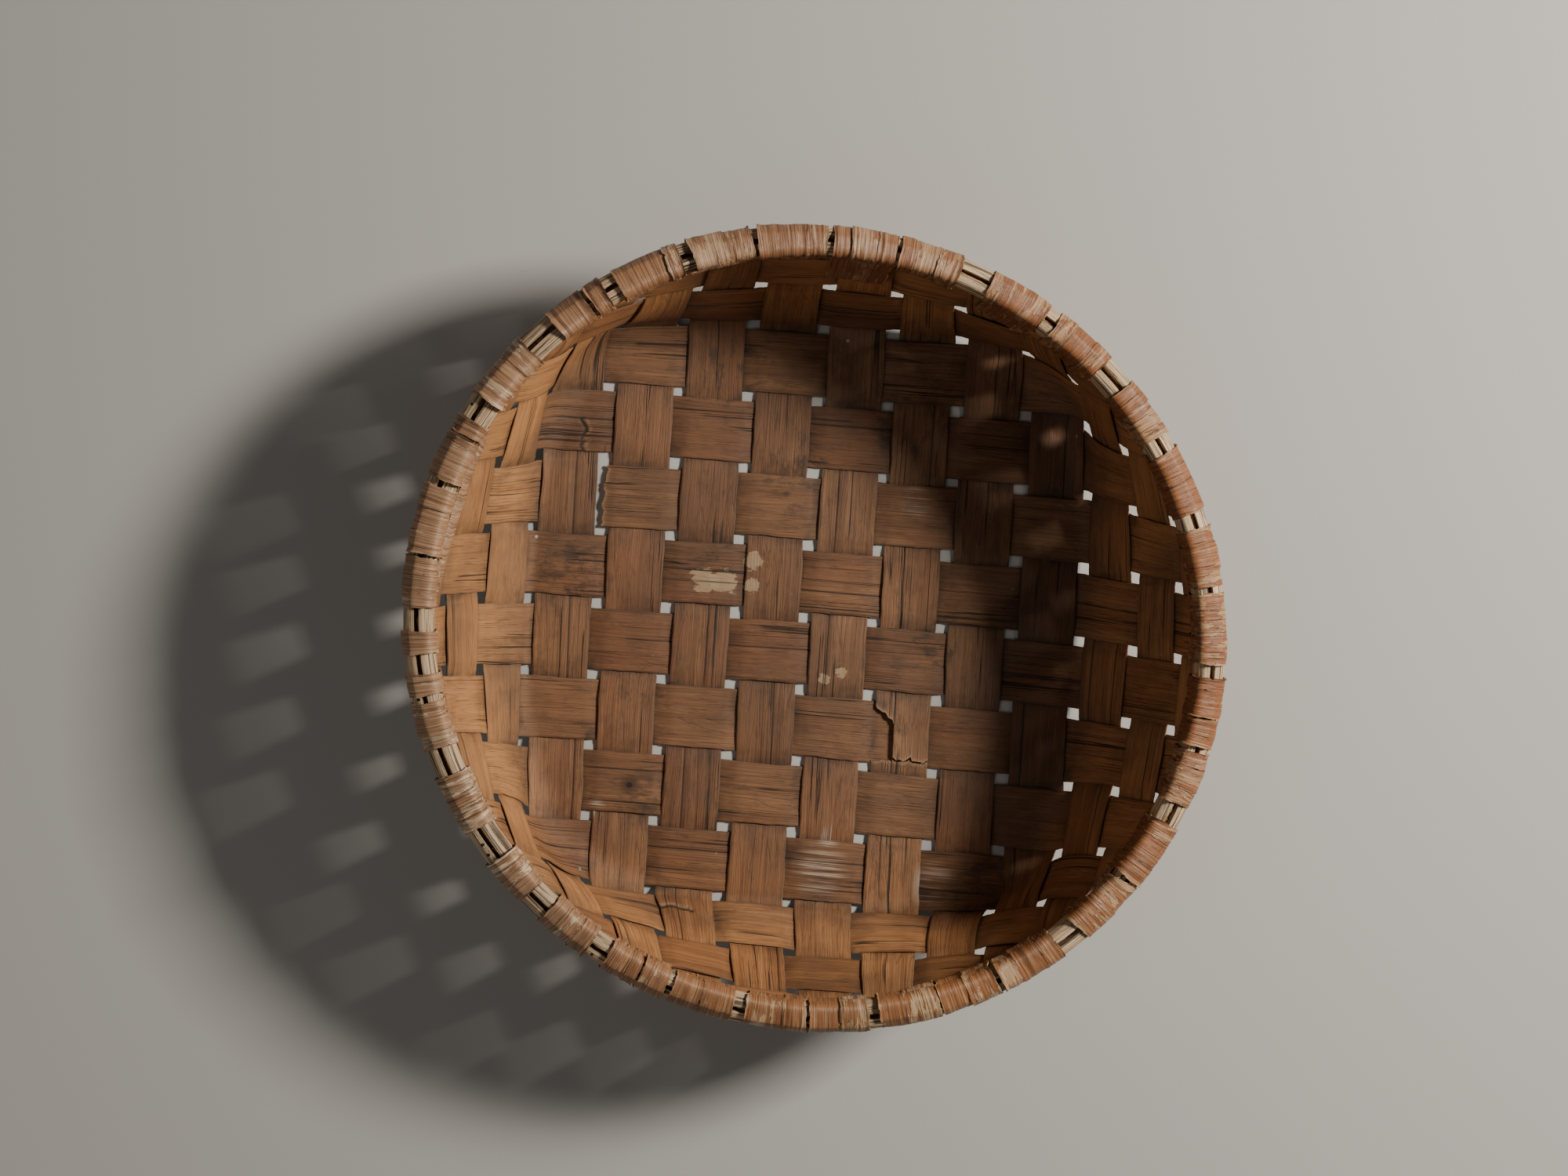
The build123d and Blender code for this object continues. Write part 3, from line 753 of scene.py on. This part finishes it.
def splint_part(family, index, share, splits, seed, tint, low, high, broken_low, broken_high):
    """One closed shell of a splint, between two lines across it.  Its middle line
    follows the weave's surface and goes over and under; both skins stand off it by
    half the thickness, and cracks, splits and torn ends sink or lift them."""
    pitch, width = family_sizes[family]
    other_pitch, other_width = family_sizes[1 - family]
    half = width / 2
    own_cracks = cracks.get((family, index), [])
    t = steps_along(low, high, [spot for spot, _, _ in own_cracks])[:, None]
    level = low + t * (high - low)
    along = level
    across = np.broadcast_to(share, level.shape)

    crack = np.zeros(level.shape)
    torn = np.maximum(np.exp((low - level) / 1.2) * broken_low, np.exp((level - high) / 1.2) * broken_high)
    for spot, start, stop in own_cracks:
        across_it = inside(across, start, stop, 0.04)
        crack = np.maximum(crack, bell(level, spot, 1.3) * across_it)
        torn = np.maximum(torn, bell(level, spot + 2.4, 1.3) * across_it)
        along = along + 2.2 * waves(across * 9, 0, seed + 61, 6, 0.35) * bell(level, spot, 7)

    wander = 0.9 * waves(along / 90, 0, seed, 4) * (1 - 0.4 * np.abs(across))
    edge_left = 0.55 * waves(along / 16, 0, seed + 1, 7, 0.6)
    edge_right = 0.55 * waves(along / 16, 0, seed + 2, 7, 0.6)
    edge = np.where(across < 0, edge_left, edge_right) * np.abs(across) ** 3
    side = (index + 0.5) * pitch + half * across + wander + edge
    middle = woven_point(*on_weave(family, side, along))
    normal = woven_normal(*on_weave(family, side, along))

    first_over = (index % 2 == 0) == (family == 1)
    lift = over_under(along, other_pitch, first_over) * (1 + 0.1 * waves(along / 40, 0, seed + 3, 4))
    below_slot = entry_height - middle[..., 2]
    limit = 0.5 + 0.05 * np.maximum(0, below_slot - 4)
    lift = np.clip(lift, -limit, limit)
    free = held(below_slot / 10)
    lift += free * 0.16 * waves(along / 24, across * 1.7, seed + 4, 6)
    lift -= free * 0.22 * across ** 2 * np.sign(lift)
    # How open the splits and cracks are: it sinks their grooves, and the same share paints their shade near
    # black.
    opened = np.zeros(along.shape)
    for number, (spot, start, stop) in enumerate(splits):
        window = held((along - start) / 14) * held((stop - along) / 14)
        window = held(window * (0.88 + 0.25 * waves(along / 13, 0, seed + 40 + number, 4)))
        opened = np.maximum(opened, held(window * 1.6) * bell(across, spot, 0.022))
        lips = np.clip((across - spot) * 6, -1, 1) * np.exp(-np.abs(across - spot) * 2.5)
        lift += free * 0.2 * window * lips * (1 if number % 2 else -1)
    opened = np.maximum(opened, crack)
    lift -= free * 0.5 * crack
    lift -= 0.35 * broken_high * held(1 - (high - along) / 16)
    lift += 0.75 * broken_low * held(1 - (along - low) / 14)

    thick = splint_thickness * (0.5 + 0.06 * waves(along / 60, across, seed + 5, 4))
    thick = thick * (1 - 0.6 * held((np.abs(across) - 0.955) / 0.045) ** 2)
    groove = opened * splint_thickness / 2
    top = middle + normal * (lift + thick - 0.75 * groove)[..., None]
    bottom = middle + normal * (lift - thick + 0.4 * groove)[..., None]
    top[..., 2] = np.maximum(top[..., 2], 0.25)
    bottom[..., 2] = np.maximum(bottom[..., 2], 0.0)

    # Dirt and painted shade: darker where a splint passes under its neighbours, less where it rides over
    # them, and along both of its edges.
    beyond = np.abs(np.mod(along / other_pitch, 1.0) - 0.5) * other_pitch - other_width / 2
    smear = 2.5 + 7.0 * held(waves(along / 26, across * 1.5, seed + 8, 4)) ** 2
    tuck_dirt_and_shade = np.where(beyond > 0, np.exp(-beyond / smear), np.exp(beyond / 2.5))
    tuck_dirt_and_shade = tuck_dirt_and_shade * np.where(lift < 0.15, 1.0, 0.35) * (0.6 + 0.4 * waves(along / 8, across * 3, seed + 6, 5))
    tuck_dirt_and_shade = np.maximum(tuck_dirt_and_shade, 0.55 * np.exp(-(1 - np.abs(across)) * half / 0.8))
    return {"top": top, "bottom": bottom, "place": np.stack([half * across + 100, along + 400], -1),
            "values": {"tint": tint, "tuck_dirt_and_shade": held(tuck_dirt_and_shade), "split": opened, "torn": held(torn)}}


def splint_piece(family, index):
    """One splint as closed shells that run between the rim's top on both sides, or
    to a break's ragged end."""
    rng = np.random.default_rng(1000 * family + index + 50)
    pitch, width = family_sizes[family]
    tint = rng.uniform(0.2, 0.8)
    seed = int(rng.integers(1, 100000))
    splits = splint_splits(family, index, rng)
    share = places_across(splits)
    side = (index + 0.5) * pitch + width / 2 * share
    below_rim = woven_point(*on_weave(family, side, 0 * side))[:, 2] < splint_top - 2.0
    share, side = share[below_rim], side[below_rim]
    ends = []
    for direction in (-1, 1):
        ragged = 1.6 * waves(share * 6, 0, seed + 7 * direction + 9, 6, 0.4)
        ends.append(direction * (way_to_rim(family, side, direction) + ragged))
    lines = [ends[0]]
    for stop_line, start_line in breaks.get((family, index), []):
        tear = 1.6 * waves(share * 9, 0, seed + 77, 7, 0.3)
        lines.append(np.interp(share, *zip(*stop_line)) + tear)
        lines.append(np.interp(share, *zip(*start_line)) + 1.1 * tear)
    lines.append(ends[1])
    return [splint_part(family, index, share, splits, seed, tint, lines[k], lines[k + 1],
                        k > 0, k + 2 < len(lines)) for k in range(0, len(lines), 2)]


for family, family_name in enumerate(family_names):
    for index in range(-6, 6):
        name = f"{family_name}_splint_{index + 7:02d}"
        make_piece(name + "_wood", splint_piece(family, index), splint_material, [name])
edge_shells = sum((splint_piece(family, index) for family in (0, 1) for index in (-7, 6)), [])
make_piece("edge_splints_wood", edge_shells, splint_material, ["edge_splints"])


# ---- hoops ----
def rim_place(turn, across, up):
    """Point at a turn round the rim: across is outwards from the slot's middle,
    up is along the slot, and both lean with the rim."""
    radius = rim_radius + across * math.cos(tilt) + up * math.sin(tilt)
    height = rim_height - across * math.sin(tilt) + up * math.cos(tilt)
    return np.stack([radius * np.cos(turn), radius * np.sin(turn), height], -1)


def round_power(value, power):
    """A sine or cosine drawn out towards a squarer shape, keeping its sign."""
    return np.sign(value) * np.abs(value) ** power


def hoop_piece(name, node, direction, depth, seed, grain_start):
    """Half-round rod: a rounded back carried round the rim, with furrows that run
    along it, and a flat inner skin by the slot that makes it a closed shell."""
    count, around = 1600, 30
    flatness = 0.78
    turn = np.linspace(0, 2 * math.pi, count, endpoint=False)[:, None]
    t = np.linspace(-1, 1, around)[None, :]
    bow = t * math.pi / 2
    across = half_slot + depth * round_power(np.cos(bow), flatness)
    up = half_hoop * round_power(np.sin(bow), flatness)
    length = turn * rim_radius
    furrows = 0.2 * waves(length / 120, t * 17, seed, 9, 0.35)
    furrows += 0.28 * waves(length / 60, t * 4, seed + 1, 5)
    notch = waves(length / 9, t * 8, seed + 2, 5, 0.4)
    furrows -= 0.35 * held(notch - 0.95)
    size = 1 + (furrows - 0.15) / depth
    sway = 0.35 * waves(length / 55, 0, seed + 3, 4)
    across = half_slot + (across - half_slot) * size
    up = up * (1 + (furrows - 0.2) / half_hoop) + sway
    top = rim_place(turn, direction * across, up)
    core = rim_place(turn, direction * (half_slot + (across - half_slot) * 0.02), up)
    place = np.stack(np.broadcast_arrays(t * half_hoop * 1.35 + grain_start, length), -1)
    shell = {"top": top, "bottom": core, "place": place, "looped": True, "values": {"tint": 0.0}}
    make_piece(name, [shell], hoop_material, [node])


# Each hoop's grain starts at its own place, so that only the outer one has holes.
hoop_piece("outer_hoop_rod", "outer_hoop", 1, outer_depth, 11, 11)
hoop_piece("inner_hoop_rod", "inner_hoop", -1, inner_depth, 23, 111)


# ---- bark wraps ----
def bands_of(node):
    """Start and width in degrees of each band of a CAD node: the angles that its
    faces cover round the rim, joined where they meet."""
    meeting = 0.02
    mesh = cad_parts[node].data
    points = np.empty(len(mesh.vertices) * 3)
    mesh.vertices.foreach_get("co", points)
    points = points.reshape(-1, 3)
    angles = np.degrees(np.arctan2(points[:, 1], points[:, 0])) % 360
    corners = np.empty(len(mesh.loops), np.int32)
    mesh.loops.foreach_get("vertex_index", corners)
    tri = angles[corners].reshape(-1, 3)
    tri = np.where(tri.max(1, keepdims=True) - tri > 180, tri + 360, tri)
    spans = sorted(zip(tri.min(1), tri.max(1)))
    joined = []
    for low, high in spans:
        if joined and low <= joined[-1][1] + meeting:
            joined[-1][1] = max(joined[-1][1], high)
        else:
            joined.append([low, high])
    if len(joined) > 1 and joined[0][0] + 360 <= joined[-1][1] + meeting:
        last = joined.pop()
        joined[0][0] = last[0] - 360
    return [(low, high - low) for low, high in joined]


def loop_profile(count, ridge, inner_drop, outer_drop):
    """Section of a wrap as a closed loop of points across and up: a flat top that
    ends in a ridge on the outer side, rounded sides, and legs that run down both
    faces of the weave to the slit that they pass through.  The points are joined
    by a closed Catmull-Rom curve and spaced evenly along it."""
    cover_gap = 1.0
    inner = half_slot + inner_depth + cover_gap
    outer = half_slot + outer_depth + cover_gap
    tall = half_hoop + cover_gap
    corners = np.array([
        (-inner, 1.0), (-inner * 0.97, tall * 0.66), (-inner * 0.7, tall * 0.97), (0.0, tall * 1.06),
        (ridge - 0.5, tall * 1.05), (ridge + 0.5, tall * 0.98), (outer * 0.86, tall * 0.58), (outer, 0.0),
        (outer * 0.86, -tall * 0.62), (outer * 0.42, -tall - 0.4 * outer_drop),
        (1.2, -tall * 1.08 - outer_drop), (-1.2 - 0.16 * inner_drop, -tall * 1.08 - inner_drop),
        (-inner * 0.42 - 0.12 * inner_drop, -tall - 0.62 * inner_drop),
        (-inner * 0.9, -tall * 0.62 - 0.12 * inner_drop)])
    ring = np.vstack([corners[-1:], corners, corners[:2]])
    share = np.linspace(0, 1, 14, endpoint=False)[:, None, None]
    a, b, c, d = (ring[k:k + len(corners)][None] for k in range(4))
    curve = 0.5 * (2 * b + (c - a) * share + (2 * a - 5 * b + 4 * c - d) * share ** 2
                   + (3 * b - a - 3 * c + d) * share ** 3)
    curve = curve.transpose(1, 0, 2).reshape(-1, 2)
    closed = np.vstack([curve, curve[:1]])
    length = np.concatenate([[0], np.cumsum(np.hypot(*np.diff(closed, axis=0).T))])
    even = np.linspace(0, length[-1], count, endpoint=False)
    points = np.stack([np.interp(even, length, closed[:, k]) for k in range(2)], -1)
    ahead = np.roll(points, -1, 0) - np.roll(points, 1, 0)
    away = np.stack([-ahead[:, 1], ahead[:, 0]], -1)
    away /= np.linalg.norm(away, axis=1, keepdims=True)
    return points, away, even, length[-1]


def bark_band(start, end, skew, base, seed, drops, ends, ridge):
    """One band of bark round both hoops, from a start to an end along the rim: the
    loop's profile carried across the band, its edges wavering, nicked and lifted
    here and there, and its face creased along the lines of the bark."""
    tint = np.random.default_rng(seed).uniform(0, 1)
    rows, columns = 96, 17
    points, away, even, total = loop_profile(rows, ridge, *drops)
    around = (even / total)[:, None]
    ring_x, ring_y = np.cos(2 * math.pi * around), np.sin(2 * math.pi * around)
    t = np.linspace(-1, 1, columns)[None, :]
    t = np.sign(t) * np.abs(t) ** 0.7
    side = np.sign(t)
    waver = 0.55 * waves(ring_x * 3 + 2 * side, ring_y * 3, seed, 6, 0.7)
    nick = held(waves(ring_x * 10 + 5 * side, ring_y * 10, seed + 1, 4) - 0.95)
    slide = (start + end) / 2 + t * (end - start) / 2 + skew * (around - 0.35) * 2
    slide += side * np.abs(t) ** 4 * (waver - 1.8 * nick)
    curl = held(waves(ring_x * 2 + 3 * side, ring_y * 2, seed + 2, 4) + 0.25)
    lift = np.where(t < 0, ends[0], ends[1]) * curl * held((np.abs(t) - 0.7) / 0.3) ** 2
    crease = 0.22 * waves(t * 9, 0.6 * ring_x + 0 * t, seed + 3, 6, 0.45)
    dent = 0.35 * waves(t * 1.6 + ring_x, ring_y * 2, seed + 4, 5)
    raised = base + lift + crease + dent
    thick = 0.55 + 0.35 * held((np.abs(t) - 0.8) / 0.2)

    def skin(height):
        return rim_place(slide / rim_radius, points[:, :1] + away[:, :1] * height,
                         points[:, 1:] + away[:, 1:] * height)

    rim_edge = held((np.abs(t) - 0.9) / 0.08)
    lip = rim_edge * held(0.45 + 0.8 * waves(ring_x * 4, ring_y * 4 + t, seed + 6, 4))
    # Dirt and painted shade on a band's edge where the next band lies over it.
    sheltered = held(1 - base) * held((np.abs(t) - 0.86) / 0.12)
    joined = np.where(t < 0, ends[0] < 0.4, ends[1] < 0.4)
    place = np.stack(np.broadcast_arrays(slide + 40 * (seed % 7), even[:, None]), -1)
    return {"top": skin(raised), "bottom": skin(raised - thick), "place": place, "looped": True,
            "values": {"tint": tint, "lip": lip * (1 - joined), "bark_dirt_and_shade": sheltered * joined}}


def hanging_strip(start, end, seed):
    """A loose strip of bark that has come away on the inner side: it leaves the
    rim under its wraps and curls down and inwards, narrow at both ends."""
    rows, columns = 60, 14
    s = np.linspace(0, 1, rows)[:, None]
    t = np.linspace(0, 1, columns)[None, :]
    turn = np.radians(start + s * (end - start)) + 0.004 * waves(t * 5, s * 4, seed, 4)
    reach = (3.5 + 9.0 * np.sin(math.pi * s) ** 0.6) * (1 + 0.1 * waves(s * 16, 0, seed + 1, 6, 0.4))
    bend = 0.5 + 1.1 * t
    across = -half_slot - inner_depth - 1.2 - reach * t * np.cos(bend) * 0.9
    up = -1.5 - reach * t * np.sin(bend) * 1.35
    wave = 0.5 * waves(s * 7, t * 3, seed + 2, 5)
    top = rim_place(turn, across + wave, up)
    bottom = rim_place(turn, across + wave + 0.6, up - 0.35)
    place = np.stack(np.broadcast_arrays(s * 70, t * 14), -1)
    lip = held((t - 0.85) / 0.1)
    # Its root, under the wraps, is darkened: dirt and painted shade.
    return {"top": top, "bottom": bottom, "place": place,
            "values": {"tint": 0.25, "lip": lip, "bark_dirt_and_shade": 0.25 * (1 - t)}}


# By a wrap's number: where the joints between its bands lie, as shares of its
# width; how far its inner leg runs down the wall; and how far its bands slant.
wrap_joints = {4: [0.62], 5: [0.3, 0.72], 6: [0.12], 7: [0.35, 0.80], 10: [0.45], 11: [0.20], 12: [],
               14: [0.22], 28: [0.5], 29: [0.3, 0.75]}
inner_legs = {8: 40.0, 6: 22.0, 5: 14.0, 9: 9.0, 26: 8.0, 31: 8.0, 30: 7.0, 1: 9.0, 2: 6.0, 16: 5.0, 3: 5.0}
slants = {3: 3.0, 9: -2.6, 28: 3.2, 10: 2.2, 4: -1.5}
stripped_wrap = 15
stripped_from, stripped_to = 153.0, 176.0


def likely_joints(rng, length):
    """Joints of a wrap that isn't listed: none in a narrow one, else one or two."""
    if length < 22:
        return []
    return [rng.uniform(0.3, 0.7)] if rng.uniform() < 0.6 else [0.32, 0.7]


def bark_piece(node, number, seed):
    """A whole wrap: its bands, laid side by side, every other one over the last.
    An outer end is lifted, and a band that another one covers keeps its end down."""
    rng = np.random.default_rng(seed)
    shells = []
    for start, width in bands_of(node):
        begin = math.radians(start) * rim_radius
        length = math.radians(width) * rim_radius
        few = likely_joints(rng, length)
        joints = [0.0] + wrap_joints.get(number, few) + [1.0]
        skew = slants.get(number, rng.uniform(-0.8, 0.8))
        drops = (inner_legs.get(number, rng.uniform(1.0, 7.0)), rng.uniform(0.3, 3.0))
        ridge = rng.uniform(3.2, 5.6)
        over = rng.integers(0, 2)
        for k, (low, high) in enumerate(zip(joints, joints[1:])):
            start_lift = rng.uniform(0.5, 1.5) if k == 0 else 0.1
            end_lift = rng.uniform(0.5, 1.5) if high == 1.0 else 0.1
            lap, base = (0.9, 0.75) if (k + over) % 2 else (-0.25, 0.25)
            band_start = begin + low * length - (lap if k else 0)
            band_end = begin + high * length + (lap if high < 1 else 0)
            shells.append(bark_band(band_start, band_end, skew, base, seed * 17 + k, drops,
                                    (start_lift, end_lift), ridge))
    if number == stripped_wrap:
        shells.append(hanging_strip(stripped_from, stripped_to, seed))
    make_piece(node + "_skin", shells, bark_material, [node], 40.0)


for number in range(1, 32):
    bark_piece(f"bark_wrap_{number:02d}", number, 300 + number)
bark_piece("narrow_bark_ties", 0, 390)


# ---- floor, light and camera ----
def plain_material(name, colour, roughness):
    """One colour and one roughness all over."""
    material = bpy.data.materials.new(name)
    material.use_nodes = True
    shader = material.node_tree.nodes["Principled BSDF"]
    shader.inputs["Base Color"].default_value = (*colour, 1)
    shader.inputs["Roughness"].default_value = roughness
    return material


def square_floor(reach, material):
    """A square floor at height zero, reaching equally far on all sides."""
    mesh = bpy.data.meshes.new("floor")
    corners = [(-reach, -reach, 0), (reach, -reach, 0), (reach, reach, 0), (-reach, reach, 0)]
    mesh.from_pydata(corners, [], [(0, 1, 2, 3)])
    mesh.materials.append(material)
    floor = bpy.data.objects.new("floor", mesh)
    bpy.context.scene.collection.objects.link(floor)


square_floor(4.0, plain_material("pale floor", (0.46, 0.45, 0.435), 0.8))

world = bpy.data.worlds.new("studio")
bpy.context.scene.world = world
world.use_nodes = True
background = world.node_tree.nodes["Background"].inputs
background["Color"].default_value = (1.0, 0.98, 0.95, 1)
background["Strength"].default_value = 0.045


def area_light(name, position, target, size, power, colour):
    """Square soft light at a position, facing a target."""
    data = bpy.data.lights.new(name, "AREA")
    data.size = size
    data.energy = power
    data.color = colour
    lamp = bpy.data.objects.new(name, data)
    lamp.location = position
    lamp.rotation_euler = (Vector(target) - Vector(position)).to_track_quat("-Z", "Y").to_euler()
    bpy.context.scene.collection.objects.link(lamp)


area_light("key light", (1.55, 0.72, 1.30), (0, 0, 0.03), 0.4, 71, (1.0, 0.945, 0.85))
area_light("fill light", (-1.4, -0.9, 1.8), (0, 0, 0.05), 1.6, 7, (1.0, 0.95, 0.88))

view_roll = math.radians(3.6)
camera_height = 2.4


def on_view(right, up):
    """Step along the floor, to the right and up as the camera sees it."""
    return Vector((right * math.cos(view_roll) - up * math.sin(view_roll),
                   right * math.sin(view_roll) + up * math.cos(view_roll), 0))


camera_data = bpy.data.cameras.new("camera")
camera_data.lens = 86.4
camera_data.sensor_width = 36
camera_data.clip_end = 20
camera = bpy.data.objects.new("camera", camera_data)
bpy.context.scene.collection.objects.link(camera)
eye = on_view(-0.155, 0.188) + Vector((0, 0, camera_height))
aim = on_view(-0.0135, 0.0187)
back = (eye - aim).normalized()
up = on_view(0, 1)
right = up.cross(back).normalized()
up = back.cross(right)
turned = Matrix((right, up, back)).transposed().to_4x4()
camera.matrix_world = Matrix.Translation(eye) @ turned
bpy.context.scene.camera = camera
